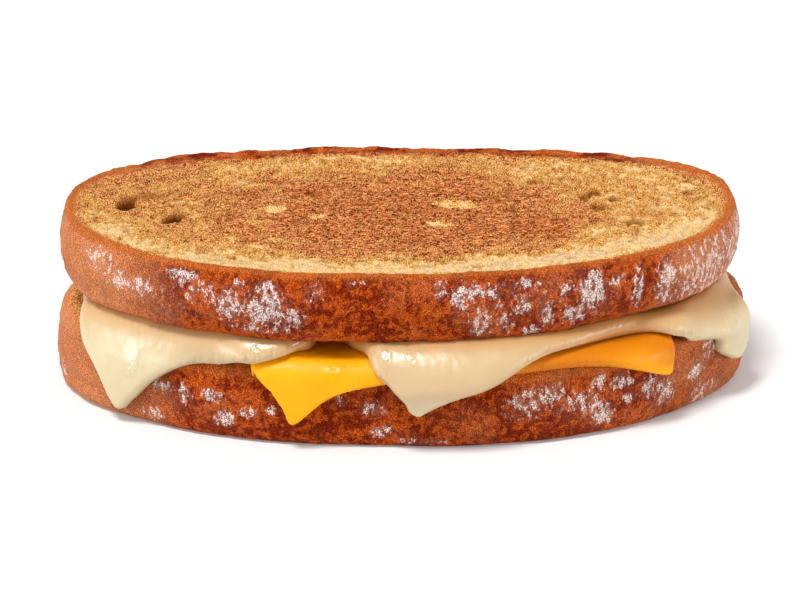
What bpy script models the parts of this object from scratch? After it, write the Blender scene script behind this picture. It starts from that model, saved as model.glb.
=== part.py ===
"""Grilled cheese sandwich: two toasted slices of a batard loaf with molten cheese between them.

Run with: blender --background --python part.py

The lower slice lies on the table. One slice of yellow cheese lies on it, then two slices of white
cheese side by side, and the upper slice presses on those. Every cheese slice is first cut out
flat and then draped over the lower slice: flat on its top, round its rim and down its crust.
"""
import math

import bmesh
import bpy
import numpy as np
from mathutils import Vector
from mathutils.geometry import delaunay_2d_cdt

MM = 0.001

# Driving dimensions in millimetres. X runs along the slices, Y towards the loaf's flat base.
GAP = 0.3                  # clear space between pieces that touch
LOWER_THICKNESS = 17.4
UPPER_THICKNESS = 16.0
CHEESE_THICKNESS = 3.0
CHEESE_POOL = 1.2          # extra depth of the white cheese where no yellow cheese lies under it
UPPER_BASE = LOWER_THICKNESS + 2 * CHEESE_THICKNESS + 3 * GAP
LEAN = 0.05                # the sandwich leans: shift to the right for each mm of height
SEGMENTS = 72              # steps round a slice's outline

# Plan of a slice: reach from its centre to the left, right, front and back, and how full each
# quarter is (2 is an ellipse, more is squarer). The front is the domed, floured crust.
LOWER_PLAN = {
    "centre": (6.0, 11.0), "left": 83.5, "right": 71.2, "front": 51.2, "back": 39.0,
    "fullness": {"front_left": 2.15, "front_right": 1.9, "back_left": 2.3, "back_right": 2.9},
    "waves": ((5, 0.30, 0.4), (9, 0.20, 2.0), (14, 0.12, 4.1)),
}
UPPER_PLAN = {
    "centre": (-8.2, 11.4), "left": 68.1, "right": 81.1, "front": 52.4, "back": 38.4,
    "fullness": {"front_left": 2.2, "front_right": 2.2, "back_left": 2.35, "back_right": 3.0},
    "waves": ((4, 0.30, 1.1), (7, 0.22, 3.0), (13, 0.12, 0.7)),
}

# Crust: how the side of a slice is rounded and how far it bulges.
RIM_RADIUS = 2.5           # upper edge of the lower slice, which the cheese folds over
BASE_RADIUS = 2.5
CREST_RADIUS = 1.0         # crust's edge round the toasted face of the upper slice
HEEL_RADIUS = 3.0          # lower edge of the upper slice
LOWER_BULGE = 0.5
UPPER_BULGE = 1.2
CORNER_STEPS = 3           # facets in each rounded edge
CRUST_WIDTH = 3.0          # from the crust's outside to the toasted face
FACE_SINK = 0.7            # toasted face below the crust's edge

# Large pores in the toasted face of the upper slice: x, y, length, width, depth.
PORES = (
    (-63.0, 9.0, 5.2, 6.0, 2.6),
    (-52.2, 1.0, 4.8, 5.6, 2.8),
    (-21.0, 17.0, 6.0, 3.0, 1.2),
    (-10.0, 8.5, 4.4, 2.4, 1.4),
    (23.7, 5.5, 3.0, 2.8, 1.5),
    (40.6, 14.5, 4.6, 4.2, 1.4),
    (46.2, 12.6, 2.8, 2.8, 1.5),
    (49.2, -3.4, 3.8, 3.4, 1.5),
)

PORE_UNEVEN = 0.12         # share by which a pore's wall wanders in and out

# Outlines of the cheese slices laid out flat, through the points that their melted edges pass.
YELLOW_CUT = (
    (-24.2, -48.0), (-14.7, -43.0), (-2.5, -40.6), (22.2, -38.6), (45.0, -31.8), (56.5, -28.8),
    (59.9, -26.5), (57.6, -20.5), (50.0, 15.0), (43.5, 48.0), (38.5, 59.0), (33.5, 58.0),
    (21.0, 49.0), (0.0, 45.0), (-37.0, 38.5), (-44.0, 33.0), (-39.0, -5.0), (-32.8, -34.4),
    (-28.6, -40.3),
)
WHITE_LEFT_CUT = (
    (-68.8, -31.9), (-62.8, -32.4), (-55.0, -31.0), (-46.5, -31.0), (-36.0, -33.9),
    (-25.0, -35.4), (-18.8, -32.0), (-16.0, -10.0), (-13.0, 20.0), (-15.0, 41.0), (-26.0, 45.5),
    (-42.0, 46.5), (-52.0, 52.0), (-58.5, 53.5), (-64.0, 44.0), (-70.0, 28.0), (-72.0, 6.0),
    (-70.3, -10.0), (-69.3, -22.0),
)
WHITE_RIGHT_CUT = (
    (2.3, -47.6), (9.0, -45.2), (22.2, -38.9), (37.0, -31.8), (49.0, -23.8), (57.5, -21.0),
    (66.5, -14.4), (70.2, -12.1), (72.6, -13.4), (76.5, -11.7), (80.0, -8.8), (79.5, -4.0),
    (75.6, 1.5), (74.6, 7.5), (72.0, 18.0), (70.0, 30.0), (65.0, 45.0), (60.0, 53.0),
    (55.0, 52.5), (46.0, 46.0), (24.0, 45.0), (8.0, 48.0), (0.0, 54.0), (-5.5, 55.5),
    (-10.0, 49.0), (-11.5, 20.0), (-14.5, -22.0), (-12.5, -32.0), (-7.0, -38.6), (-2.5, -40.9),
    (0.2, -44.0),
)
CUT_STEPS = 3              # steps between two points of an outline
EDGE_ROUND = 0.9           # how far a cheese slice's edge swells out
DRAPE_REACH = 22.0         # how far below the rim a cheese slice may hang
COVER_MARGIN = 1.0         # the white cheese stays lifted this far past the yellow cheese's edge
COVER_FALL = 6.0           # and comes down to the bread over this length
POOL_RISE = 12.0           # the pool reaches its full depth this far inside the crust


def clear_scene():
    for item in list(bpy.data.objects):
        bpy.data.objects.remove(item, do_unlink=True)


def make_material(name, colour, roughness, subsurface=0.0):
    material = bpy.data.materials.new(name)
    material.use_nodes = True
    shader = material.node_tree.nodes["Principled BSDF"]
    shader.inputs["Base Color"].default_value = (*colour, 1.0)
    shader.inputs["Roughness"].default_value = roughness
    shader.inputs["Metallic"].default_value = 0.0
    shader.inputs["Subsurface Weight"].default_value = subsurface
    return material


# ---- the plan of a slice ----

def plan_points(plan):
    """Outline of a slice and its outward normals, one row for each segment."""
    angle = np.linspace(0.0, 2.0 * math.pi, SEGMENTS, endpoint=False)
    cosine, sine = np.cos(angle), np.sin(angle)
    is_right, is_back = cosine > 0, sine > 0
    across = np.where(is_right, plan["right"], plan["left"])
    along = np.where(is_back, plan["back"], plan["front"])
    full = plan["fullness"]
    power = np.where(
        is_back,
        np.where(is_right, full["back_right"], full["back_left"]),
        np.where(is_right, full["front_right"], full["front_left"]),
    )
    radius = (np.abs(cosine / across) ** power + np.abs(sine / along) ** power) ** (-1.0 / power)
    for count, height, start in plan["waves"]:
        radius = radius + height * np.sin(count * angle + start)
    rim = np.stack([radius * cosine, radius * sine], axis=1) + np.array(plan["centre"])
    tangent = np.roll(rim, -1, axis=0) - np.roll(rim, 1, axis=0)
    tangent /= np.linalg.norm(tangent, axis=1)[:, None]
    return rim, np.stack([tangent[:, 1], -tangent[:, 0]], axis=1)


def lean(places):
    """Shift places to the right in proportion to their height."""
    places = np.array(places, dtype=float)
    places[:, 0] += LEAN * places[:, 2]
    return places


# ---- the side of a slice, as (outward, height) steps from its base to its top ----

def rounded_corner(radius, height, start, end):
    """Quarter-round crust edge whose centre lies one radius inside the outline."""
    turns = np.linspace(math.radians(start), math.radians(end), CORNER_STEPS + 1)
    return [(radius * math.cos(t) - radius, height + radius * math.sin(t)) for t in turns]


def bulging_side(bottom, top, bulge, steps):
    """Crust between the two rounded edges, swelling out in the middle."""
    parts = [k / steps for k in range(1, steps)]
    return [(bulge * math.sin(math.pi * p), bottom + (top - bottom) * p) for p in parts]


def lower_profile():
    rim_height = LOWER_THICKNESS - RIM_RADIUS
    return (
        rounded_corner(BASE_RADIUS, BASE_RADIUS, -90, 0)
        + bulging_side(BASE_RADIUS, rim_height, LOWER_BULGE, 3)
        + rounded_corner(RIM_RADIUS, rim_height, 0, 90)
    )


def upper_profile():
    crest_height = UPPER_THICKNESS - CREST_RADIUS
    face = [(-CRUST_WIDTH, UPPER_THICKNESS - FACE_SINK)]
    return (
        rounded_corner(HEEL_RADIUS, HEEL_RADIUS, -90, 0)
        + bulging_side(HEEL_RADIUS, crest_height, UPPER_BULGE, 4)
        + rounded_corner(CREST_RADIUS, crest_height, 0, 90)
        + face
    )


def slice_mesh(name, plan, profile, base_height):
    """Closed slice: one ring of the outline for each step of the profile, capped at both ends."""
    rim, normal = plan_points(plan)
    shape = bmesh.new()
    rings = []
    for outward, height in profile:
        level = np.full((SEGMENTS, 1), base_height + height)
        ring = lean(np.hstack([rim + normal * outward, level]))
        rings.append([shape.verts.new(place * MM) for place in ring])
    for below, above in zip(rings, rings[1:]):
        for k in range(SEGMENTS):
            after = (k + 1) % SEGMENTS
            shape.faces.new((below[k], below[after], above[after], above[k]))
    shape.faces.new(list(reversed(rings[0])))
    shape.faces.new(rings[-1])
    return finish_mesh(shape, name)


def finish_mesh(shape, name):
    bmesh.ops.recalc_face_normals(shape, faces=shape.faces)
    mesh = bpy.data.meshes.new(name)
    shape.to_mesh(mesh)
    shape.free()
    return mesh


# ---- the cheese slices: cut flat, then draped ----

def closed_curve(points, steps):
    """Smooth closed curve through the points (Catmull-Rom)."""
    knots = np.array(points)
    before, after, next_after = (np.roll(knots, shift, axis=0) for shift in (1, -1, -2))
    curve = []
    for part in np.arange(steps) / steps:
        square, cube = part * part, part * part * part
        curve.append(0.5 * (
            2 * knots + (after - before) * part
            + (2 * before - 5 * knots + 4 * after - next_after) * square
            + (3 * knots - before - 3 * after + next_after) * cube
        ))
    return np.stack(curve, axis=1).reshape(-1, 2)


def nearest_on_loop(points, loop):
    """For each point: the loop's nearest edge, the place on it (0 to 1) and the distance."""
    start, run = loop, np.roll(loop, -1, axis=0) - loop
    offset = points[:, None, :] - start[None, :, :]
    place = (offset * run).sum(-1) / (run * run).sum(-1)
    place = np.clip(place, 0.0, 1.0)
    distance = np.linalg.norm(offset - place[..., None] * run, axis=-1)
    edge = distance.argmin(axis=1)
    rows = np.arange(len(points))
    return edge, place[rows, edge], distance[rows, edge]


def is_inside(points, loop):
    """True where a point lies inside the closed loop (even-odd rule)."""
    ax, ay = loop.T
    bx, by = np.roll(loop, -1, axis=0).T
    px, py = points[:, :1], points[:, 1:]
    crosses = (ay > py) != (by > py)
    rise = np.where(by == ay, 1.0, by - ay)
    left_of = px < ax + (py - ay) / rise * (bx - ax)
    return (crosses & left_of).sum(axis=1) % 2 == 1


class LowerSurface:
    """Top, rim and crust of the lower slice, unrolled into a flat plan to lay cheese on."""

    def __init__(self):
        rim, self.normal = plan_points(LOWER_PLAN)
        self.fold = rim - self.normal * RIM_RADIUS
        steps = [step for step in reversed(lower_profile()) if step[1] >= BASE_RADIUS]
        outward = np.array([step[0] for step in steps]) + RIM_RADIUS
        height = np.array([step[1] for step in steps])
        self.down = np.concatenate([[0.0], np.cumsum(np.hypot(np.diff(outward), np.diff(height)))])
        turn = np.minimum(self.down / self.down[CORNER_STEPS], 1.0) * math.pi / 2
        self.table = {
            "outward": outward, "height": height, "lift_out": np.sin(turn), "lift_up": np.cos(turn)
        }

    def read(self, column, beyond):
        """Value of a profile column at a flat distance beyond the fold line."""
        return np.interp(beyond, self.down, self.table[column])

    def drape(self, flat, lift):
        """World places, in millimetres, of flat points held a given lift above the bread."""
        edge, place, distance = nearest_on_loop(flat, self.fold)
        after = (edge + 1) % SEGMENTS
        share = place[:, None]
        fold = self.fold[edge] * (1 - share) + self.fold[after] * share
        normal = self.normal[edge] * (1 - share) + self.normal[after] * share
        within = is_inside(flat, self.fold)
        beyond = np.where(within, 0.0, distance)
        side = self.read("outward", beyond) + lift * self.read("lift_out", beyond)
        level = self.read("height", beyond) + lift * self.read("lift_up", beyond)
        plan = np.where(within[:, None], flat, fold + normal * side[:, None])
        return lean(np.column_stack([plan, level]))

    def guide_lines(self):
        """Flat net whose lines run along the fold and down the crust, as points and edges."""
        rows = [self.fold + self.normal * reach for reach in self.down if reach < DRAPE_REACH]
        points = np.concatenate(rows)
        edges = []
        for row in range(len(rows)):
            for k in range(SEGMENTS):
                here = row * SEGMENTS + k
                edges.append((here, row * SEGMENTS + (k + 1) % SEGMENTS))
                if row + 1 < len(rows):
                    edges.append((here, here + SEGMENTS))
        return points, edges


def loop_edges(first, count):
    return [(first + k, first + (k + 1) % count) for k in range(count)]


def cut_flat(outline, nets):
    """Triangles that fill the outline and follow the lines of the nets: points and faces."""
    points = [Vector(p) for p in outline]
    edges = []
    for net_points, net_edges in nets:
        first = len(points)
        points += [Vector(p) for p in net_points]
        edges += [(first + a, first + b) for a, b in net_edges]
    result = delaunay_2d_cdt(points, edges, [list(range(len(outline)))], 1, 1e-4)
    coords, faces, owners = result[0], result[2], result[5]
    kept = [face for face, owner in zip(faces, owners) if owner]
    used = sorted({k for face in kept for k in face})
    number = {k: n for n, k in enumerate(used)}
    return np.array([coords[k][:] for k in used]), [[number[k] for k in face] for face in kept]


def border_edges(faces):
    """Directed edges that only one triangle has."""
    directed = {(face[k], face[(k + 1) % 3]) for face in faces for k in range(3)}
    return [(a, b) for a, b in sorted(directed) if (b, a) not in directed]


def border_normals(flat, border):
    """Outward direction, in the flat plan, at each point of the border."""
    normal = np.zeros_like(flat)
    for a, b in border:
        run = flat[b] - flat[a]
        outward = np.array([run[1], -run[0]]) / max(np.linalg.norm(run), 1e-6)
        normal[a] += outward
        normal[b] += outward
    length = np.linalg.norm(normal, axis=1)
    return normal / np.maximum(length, 1e-6)[:, None]


def shrink(outline, amount):
    """Outline moved inward by the amount."""
    tangent = np.roll(outline, -1, axis=0) - np.roll(outline, 1, axis=0)
    tangent /= np.linalg.norm(tangent, axis=1)[:, None]
    return outline - np.stack([tangent[:, 1], -tangent[:, 0]], axis=1) * amount


def cheese_mesh(name, surface, cut, underside, topside, nets):
    """Closed cheese slice between two lifts above the bread, with a swelling edge."""
    outline = shrink(closed_curve(cut, CUT_STEPS), EDGE_ROUND)
    flat, faces = cut_flat(outline, nets)
    border = border_edges(faces)
    rim_flat = flat + border_normals(flat, border) * EDGE_ROUND
    low, high = underside(flat), topside(flat)
    shape = bmesh.new()
    places = [
        surface.drape(flat, low), surface.drape(flat, high),
        surface.drape(rim_flat, (underside(rim_flat) + topside(rim_flat)) / 2),
    ]
    bottom, top = ([shape.verts.new(p * MM) for p in layer] for layer in places[:2])
    rim = {k: shape.verts.new(places[2][k] * MM) for k in sorted({a for a, _ in border})}
    for a, b, c in faces:
        shape.faces.new((top[a], top[b], top[c]))
        shape.faces.new((bottom[c], bottom[b], bottom[a]))
    for a, b in border:
        shape.faces.new((bottom[a], bottom[b], rim[b], rim[a]))
        shape.faces.new((rim[a], rim[b], top[b], top[a]))
    return finish_mesh(shape, name)


def yellow_cover(flat):
    """1 over the yellow cheese, falling to 0 a little way past its edge."""
    loop = closed_curve(YELLOW_CUT, CUT_STEPS)
    distance = nearest_on_loop(flat, loop)[2]
    past = np.where(is_inside(flat, loop), 0.0, distance - COVER_MARGIN)
    share = np.clip(past / COVER_FALL, 0.0, 1.0)
    return 1.0 - share * share * (3.0 - 2.0 * share)


def cover_net():
    """Outlines round the yellow cheese, from where the white cheese starts its fall to its end."""
    loop = closed_curve(YELLOW_CUT, CUT_STEPS)
    points, edges = [], []
    for share in np.linspace(0.0, 1.0, CORNER_STEPS + 1):
        edges += loop_edges(len(points), len(loop))
        points += list(shrink(loop, -(COVER_MARGIN + share * COVER_FALL)))
    return points, edges


def yellow_underside(flat):
    return np.full(len(flat), GAP)


def yellow_topside(flat):
    return np.full(len(flat), GAP + CHEESE_THICKNESS)


def white_underside(flat):
    return GAP + yellow_cover(flat) * (CHEESE_THICKNESS + GAP)


def white_topside(flat):
    """A slice's thickness above the underside, and deeper where the cheese has pooled."""
    edge_loop = plan_points(LOWER_PLAN)[0]
    inward = np.where(is_inside(flat, edge_loop), nearest_on_loop(flat, edge_loop)[2], 0.0)
    pooled = (1.0 - yellow_cover(flat)) * np.clip(inward / POOL_RISE, 0.0, 1.0)
    return white_underside(flat) + CHEESE_THICKNESS + CHEESE_POOL * pooled


# ---- the pores of the toasted face ----

def pore_cutter(name, place, size):
    """Rough ellipsoid hole, sunk into the toasted face."""
    shape = bmesh.new()
    bmesh.ops.create_icosphere(shape, subdivisions=2, radius=1.0)
    for vert in shape.verts:
        uneven = 1.0 + PORE_UNEVEN * math.sin(5.0 * vert.co.x + 3.0 * vert.co.y + place[0])
        scaled = [vert.co[k] * size[k] * uneven + place[k] for k in range(3)]
        vert.co = Vector(lean([scaled])[0]) * MM
    cutter = bpy.data.objects.new(name, finish_mesh(shape, name))
    bpy.context.scene.collection.objects.link(cutter)
    cutter.hide_render = True
    cutter.display_type = "WIRE"
    return cutter


def cut_pores(bread):
    """Pores as Boolean cuts, their centres level with the toasted face."""
    level = UPPER_BASE + UPPER_THICKNESS - FACE_SINK
    for number, (x, y, length, width, depth) in enumerate(PORES, start=1):
        cutter = pore_cutter(f"pore_cutter_{number}", (x, y, level), (length / 2, width / 2, depth))
        cut = bread.modifiers.new(f"pore_{number}", "BOOLEAN")
        cut.operation = "DIFFERENCE"
        cut.object = cutter
        cutter.parent = bread.parent


# ---- the sandwich ----

def add_piece(name, mesh, material, parent):
    mesh.materials.append(material)
    mesh.shade_smooth()
    mesh.set_sharp_from_angle(angle=math.radians(40))
    piece = bpy.data.objects.new(name, mesh)
    bpy.context.scene.collection.objects.link(piece)
    piece.parent = parent
    return piece


def build_bread(parent):
    crust = make_material("toasted_bread_crust", (0.42, 0.13, 0.035), 0.6)
    toast = make_material("toasted_bread_top", (0.58, 0.28, 0.08), 0.65)
    lower = slice_mesh("bread_lower", LOWER_PLAN, lower_profile(), 0.0)
    upper = slice_mesh("bread_upper", UPPER_PLAN, upper_profile(), UPPER_BASE)
    pieces = [
        add_piece("bread_lower", lower, crust, parent),
        add_piece("bread_upper", upper, toast, parent),
    ]
    cut_pores(pieces[1])
    return pieces


def build_cheese(parent):
    surface = LowerSurface()
    yellow = make_material("yellow_cheese", (0.95, 0.50, 0.03), 0.3, 0.1)
    white = make_material("white_cheese", (0.86, 0.72, 0.45), 0.25, 0.1)
    drape_net, fall_net = surface.guide_lines(), cover_net()
    yellow_mesh = cheese_mesh(
        "cheese_yellow", surface, YELLOW_CUT, yellow_underside, yellow_topside, [drape_net]
    )
    pieces = [add_piece("cheese_yellow", yellow_mesh, yellow, parent)]
    for side, cut in (("left", WHITE_LEFT_CUT), ("right", WHITE_RIGHT_CUT)):
        name = f"cheese_white_{side}"
        nets = [drape_net, fall_net]
        mesh = cheese_mesh(name, surface, cut, white_underside, white_topside, nets)
        pieces.append(add_piece(name, mesh, white, parent))
    return pieces


def centre_on_origin(parent, pieces):
    """Move the sandwich so that the middle of its box stands over the origin."""
    corners = np.array([vert.co[:] for piece in pieces for vert in piece.data.vertices])
    middle = (corners.min(axis=0) + corners.max(axis=0)) / 2
    parent.location = (-middle[0], -middle[1], -corners[:, 2].min())


def main():
    clear_scene()
    sandwich = bpy.data.objects.new("grilled_cheese_sandwich", None)
    bpy.context.scene.collection.objects.link(sandwich)
    pieces = build_bread(sandwich) + build_cheese(sandwich)
    centre_on_origin(sandwich, pieces)
    for piece in pieces:
        print(piece.name, len(piece.data.polygons), "faces")


main()
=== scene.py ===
# %% [markdown]
# # The looks of a grilled cheese sandwich
# Two toasted slices of a batard loaf hold a slice of yellow cheese and two slices of white cheese.
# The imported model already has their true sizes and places. This script dresses it: each solid is
# replaced by a finer mesh of the same form, with the crumb, the crust and the melted edges that a
# baker and a griddle leave, and each mesh gets a material made from nodes.

import math

import bpy
import numpy as np
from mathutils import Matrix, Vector, kdtree, noise
from mathutils.geometry import delaunay_2d_cdt


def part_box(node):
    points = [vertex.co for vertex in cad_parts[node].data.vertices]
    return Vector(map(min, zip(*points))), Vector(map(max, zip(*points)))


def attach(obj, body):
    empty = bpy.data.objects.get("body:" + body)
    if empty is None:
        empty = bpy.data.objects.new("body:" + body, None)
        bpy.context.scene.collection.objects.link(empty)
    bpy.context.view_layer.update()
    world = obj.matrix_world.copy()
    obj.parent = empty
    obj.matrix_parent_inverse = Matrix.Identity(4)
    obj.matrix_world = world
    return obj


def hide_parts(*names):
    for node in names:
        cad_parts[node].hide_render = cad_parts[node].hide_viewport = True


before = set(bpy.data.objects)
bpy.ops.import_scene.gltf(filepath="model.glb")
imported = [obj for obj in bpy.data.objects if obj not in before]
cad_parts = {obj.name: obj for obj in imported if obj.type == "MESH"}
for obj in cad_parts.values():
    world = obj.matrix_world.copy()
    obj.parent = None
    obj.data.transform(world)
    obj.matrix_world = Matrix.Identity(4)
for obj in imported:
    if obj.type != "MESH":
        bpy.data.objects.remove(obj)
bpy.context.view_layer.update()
print("nodes:", ", ".join(sorted(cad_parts)))

# %% [markdown]
# ## Sizes
# The loaf and the cheese are described in millimetres, in the same plan that the solids came from:
# X runs along the slices, and Y runs from the floured, domed crust at the front to the loaf's flat
# base at the back. Keeping the same named sizes means that every finer mesh lies on its solid.

# %% Sizes of the slices
MM = 0.001
GAP = 0.3
LOWER_THICKNESS = 17.4
UPPER_THICKNESS = 16.0
CHEESE_THICKNESS = 3.0
CHEESE_POOL = 1.2
UPPER_BASE = LOWER_THICKNESS + 2 * CHEESE_THICKNESS + 3 * GAP
LEAN = 0.05

LOWER_PLAN = {
    "centre": (6.0, 11.0), "left": 83.5, "right": 71.2, "front": 51.2, "back": 39.0,
    "fullness": {"front_left": 2.15, "front_right": 1.9, "back_left": 2.3, "back_right": 2.9},
    "waves": ((5, 0.30, 0.4), (9, 0.20, 2.0), (14, 0.12, 4.1)),
}
UPPER_PLAN = {
    "centre": (-8.2, 11.4), "left": 68.1, "right": 81.1, "front": 52.4, "back": 38.4,
    "fullness": {"front_left": 2.2, "front_right": 2.2, "back_left": 2.35, "back_right": 3.0},
    "waves": ((4, 0.30, 1.1), (7, 0.22, 3.0), (13, 0.12, 0.7)),
}
RIM_RADIUS = 2.5
BASE_RADIUS = 2.5
CREST_RADIUS = 1.0
HEEL_RADIUS = 3.0
LOWER_BULGE = 0.5
UPPER_BULGE = 1.2
CRUST_WIDTH = 3.0
FACE_SINK = 0.7

# %% [markdown]
# ## The outline of a slice
# A slice of batard is nearly an ellipse, but squarer at the base of the loaf. A superellipse draws
# that with one power for each quarter, and a few low waves keep it from looking turned on a lathe.
# The curve is worked out densely and then walked in equal steps, so that the mesh has even cells.


# %% Outline in equal steps
def plan_outline(plan, count):
    """Places round a slice, an equal step apart, and the outward direction at each."""
    angle = np.linspace(0.0, 2.0 * math.pi, 4096, endpoint=False)
    cosine, sine = np.cos(angle), np.sin(angle)
    is_right, is_back = cosine > 0, sine > 0
    across = np.where(is_right, plan["right"], plan["left"])
    along = np.where(is_back, plan["back"], plan["front"])
    full = plan["fullness"]
    power = np.where(
        is_back,
        np.where(is_right, full["back_right"], full["back_left"]),
        np.where(is_right, full["front_right"], full["front_left"]),
    )
    radius = (np.abs(cosine / across) ** power + np.abs(sine / along) ** power) ** (-1.0 / power)
    for waves, height, start in plan["waves"]:
        radius = radius + height * np.sin(waves * angle + start)
    curve = np.stack([radius * cosine, radius * sine], axis=1) + np.array(plan["centre"])
    return even_steps(curve, count)


def even_steps(curve, count):
    """A closed curve walked in `count` equal steps, with its outward directions."""
    closed = np.vstack([curve, curve[:1]])
    walked = np.concatenate([[0.0], np.cumsum(np.linalg.norm(np.diff(closed, axis=0), axis=1))])
    stops = np.linspace(0.0, walked[-1], count, endpoint=False)
    places = np.stack([np.interp(stops, walked, closed[:, k]) for k in (0, 1)], axis=1)
    tangent = np.roll(places, -1, axis=0) - np.roll(places, 1, axis=0)
    tangent /= np.linalg.norm(tangent, axis=1)[:, None]
    return places, np.stack([tangent[:, 1], -tangent[:, 0]], axis=1)


# %% [markdown]
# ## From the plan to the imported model
# The solids were moved so that the middle of their box stands over the origin. The lower slice is
# the widest piece, so its box says how far: the middle of its outline, swollen by its bulge, minus
# the middle of its packed box.


# %% The shared frame
def find_origin():
    """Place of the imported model's origin, in the plan's millimetres."""
    outline, outward = plan_outline(LOWER_PLAN, 1440)
    swollen = outline + outward * LOWER_BULGE * math.sin(math.pi / 3)
    middle = (swollen.min(axis=0) + swollen.max(axis=0)) / 2
    low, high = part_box("bread_lower")
    packed = (low + high) / 2 / MM
    return np.array([middle[0] + LEAN * LOWER_THICKNESS / 2 - packed.x, middle[1] - packed.y, 0.0])


ORIGIN = find_origin()
print("origin of the packed model in the plan, mm:", ORIGIN.round(2))


def lean(places):
    """The sandwich leans a little to the right as it rises."""
    leaned = np.array(places, dtype=float)
    leaned[:, 0] += LEAN * leaned[:, 2]
    return leaned


def to_model(places):
    """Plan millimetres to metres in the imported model's frame."""
    return (lean(places) - ORIGIN) * MM


# %% [markdown]
# ## Small tools
# Bread is uneven at every size, from the sag of a slice to single grains. Blender's own noise,
# read at each vertex, gives that unevenness as real relief: `lumps` of a chosen size in
# millimetres. `smooth` is the usual soft step, which blends one region into the next.


# %% Noise and soft steps
def lumps(places, size, layers=3, seed=0.0, stretch=(1.0, 1.0, 1.0)):
    """Noise of about -1 to 1 with lumps `size` mm across, longer along the stretched axes."""
    scaled = np.asarray(places) / (size * np.array(stretch)) + (seed, 1.7 * seed, 0.6 * seed)
    return np.array([noise.fractal(Vector(p), 1.0, 2.0, layers) for p in scaled.tolist()])


def smooth(start, end, value):
    """0 before start, 1 after end, with a soft step between them."""
    share = np.clip((value - start) / (end - start), 0.0, 1.0)
    return share * share * (3.0 - 2.0 * share)


# %% [markdown]
# ## Filling a ring with even triangles
# The flat of a slice has no natural grid, so a jittered honeycomb of points is laid inside its
# ring and joined up by Delaunay triangulation. The jitter keeps rows from showing in the light.


# %% Fill a ring
FINE_BORDER = 3.5


def honeycomb(low, high, spacing, rng):
    """Jittered honeycomb of points over a rectangle."""
    columns = np.arange(low[0], high[0], spacing)
    rows = np.arange(low[1], high[1], spacing * math.sqrt(3) / 2)
    grid = np.array([(x + spacing / 2 * (k % 2), y) for k, y in enumerate(rows) for x in columns])
    return grid + rng.uniform(-0.22, 0.22, grid.shape) * spacing


def fill_ring(ring, spacing, rng, inner_spacing=None):
    """Points inside a closed ring, and triangles over the ring and those points together.

    With an inner spacing, only the border FINE_BORDER wide gets the finer one.
    """
    tree = kdtree.KDTree(len(ring))
    for k, place in enumerate(ring):
        tree.insert((*place, 0.0), k)
    tree.balance()
    low, high = ring.min(axis=0), ring.max(axis=0)
    bands = [(spacing, 0.6 * spacing, math.inf)]
    if inner_spacing:
        bands = [(spacing, 0.6 * spacing, FINE_BORDER), (inner_spacing, FINE_BORDER, math.inf)]
    points = [ring]
    for step, nearest, farthest in bands:
        grid = honeycomb(low, high, step, rng)
        apart = np.array([tree.find((x, y, 0.0))[2] for x, y in grid.tolist()])
        points.append(grid[(apart > nearest) & (apart <= farthest)])
    points = np.vstack(points)
    count = len(ring)
    edges = [(k, (k + 1) % count) for k in range(count)]
    found = delaunay_2d_cdt([Vector(p) for p in points.tolist()], edges, [], 1, 1e-5)
    source = [names[0] for names in found[3]]
    faces = np.array([[source[v] for v in face] for face in found[2]])
    used = np.unique(faces)
    number = np.full(len(points), -1)
    number[used] = np.arange(len(used))
    assert (number[:count] == np.arange(count)).all()
    return points[used][count:], number[faces]


# %% [markdown]
# ## The side of a slice
# Seen from the end, the crust is a rounded heel, a swelling side and a rounded crest. It is a list
# of (outward, height) steps, again walked evenly, and the direction square to it is where crumbs
# and blisters will push the surface out or in.


# %% Crust profiles
def rounded_corner(radius, height, start, end):
    turns = np.radians(np.linspace(start, end, 24))
    return np.stack([radius * np.cos(turns) - radius, height + radius * np.sin(turns)], axis=1)


def bulging_side(bottom, top, bulge):
    part = np.linspace(0.0, 1.0, 60)
    return np.stack([bulge * np.sin(math.pi * part), bottom + (top - bottom) * part], axis=1)


def lower_profile():
    rim_height = LOWER_THICKNESS - RIM_RADIUS
    return np.vstack([
        rounded_corner(BASE_RADIUS, BASE_RADIUS, -90, 0),
        bulging_side(BASE_RADIUS, rim_height, LOWER_BULGE)[1:-1],
        rounded_corner(RIM_RADIUS, rim_height, 0, 90),
    ])


def upper_profile():
    crest_height = UPPER_THICKNESS - CREST_RADIUS
    return np.vstack([
        rounded_corner(HEEL_RADIUS, HEEL_RADIUS, -90, 0),
        bulging_side(HEEL_RADIUS, crest_height, UPPER_BULGE)[1:-1],
        rounded_corner(CREST_RADIUS, crest_height, 0, 90),
        [(-CRUST_WIDTH, UPPER_THICKNESS - FACE_SINK)],
    ])


def walk_profile(profile, step):
    """Profile in equal steps, and the direction square to it at each."""
    walked = np.concatenate([[0.0], np.cumsum(np.linalg.norm(np.diff(profile, axis=0), axis=1))])
    stops = np.linspace(0.0, walked[-1], int(walked[-1] / step) + 1)
    steps = np.stack([np.interp(stops, walked, profile[:, k]) for k in (0, 1)], axis=1)
    run = np.gradient(steps, axis=0)
    run /= np.linalg.norm(run, axis=1)[:, None]
    return steps, np.stack([run[:, 1], -run[:, 0]], axis=1)


# %% [markdown]
# ## One closed mesh for a slice
# The side is a belt of quads: the outline's steps times the profile's steps. Its first and last
# rings are filled with triangles. The result keeps, for each vertex, where it is in the plan, its
# outward direction, its height above the slice's base, and how deep it lies inside the outline.


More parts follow.
